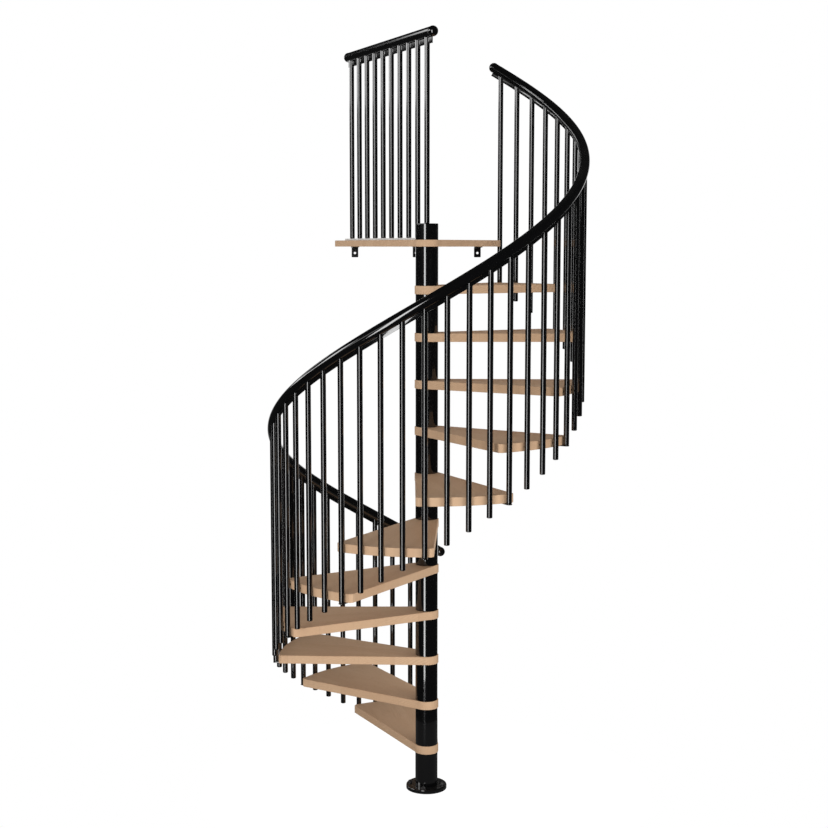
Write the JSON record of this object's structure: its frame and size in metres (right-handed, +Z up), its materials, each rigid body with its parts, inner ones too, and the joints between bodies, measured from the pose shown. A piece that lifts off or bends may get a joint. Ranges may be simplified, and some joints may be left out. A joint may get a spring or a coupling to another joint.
{
  "type": "spiral staircase",
  "caption": "Spiral staircase with a round steel column, wedge-shaped wooden treads, a landing, round black balusters and a helical tube handrail.",
  "frame": {"origin": "centre of the base flange's underside, on the column's axis at floor level", "axes": "+Z up along the column; +Y from the column to the landing's far edge; +X to the right as seen from in front of the stair"},
  "size_m": [1.5966, 1.7983, 3.8423],
  "materials": {
    "oak": "matt clear lacquer on stave-laminated oak",
    "steel_black": "gloss black powder coat",
    "handrail_black": "gloss black coating",
    "bar_white": "satin white powder coat"
  },
  "bodies": {
    "root": {"base_flange": "steel_black", "column_post": "steel_black", "column_spacers": "steel_black", "column_top": "steel_black", "tread_1": "oak", "tread_2": "oak", "tread_3": "oak", "tread_4": "oak", "tread_5": "oak", "tread_6": "oak", "tread_7": "oak", "tread_8": "oak", "tread_9": "oak", "tread_10": "oak", "tread_11": "oak", "landing_platform": "oak", "landing_brackets": "steel_black", "landing_base_bar": "bar_white", "landing_balusters": "steel_black", "landing_rail_strip": "steel_black", "landing_handrail": "handrail_black", "landing_handrail_ends": "handrail_black", "first_baluster": "steel_black", "balusters_1": "steel_black", "balusters_2": "steel_black", "balusters_3": "steel_black", "balusters_4": "steel_black", "balusters_5": "steel_black", "balusters_6": "steel_black", "balusters_7": "steel_black", "balusters_8": "steel_black", "balusters_9": "steel_black", "balusters_10": "steel_black", "balusters_11": "steel_black", "baluster_distance_pieces": "steel_black", "baluster_foot_plates": "steel_black", "stair_rail_strip": "steel_black", "stair_handrail": "handrail_black", "stair_handrail_ends": "handrail_black"}
  },
  "joints": []
}
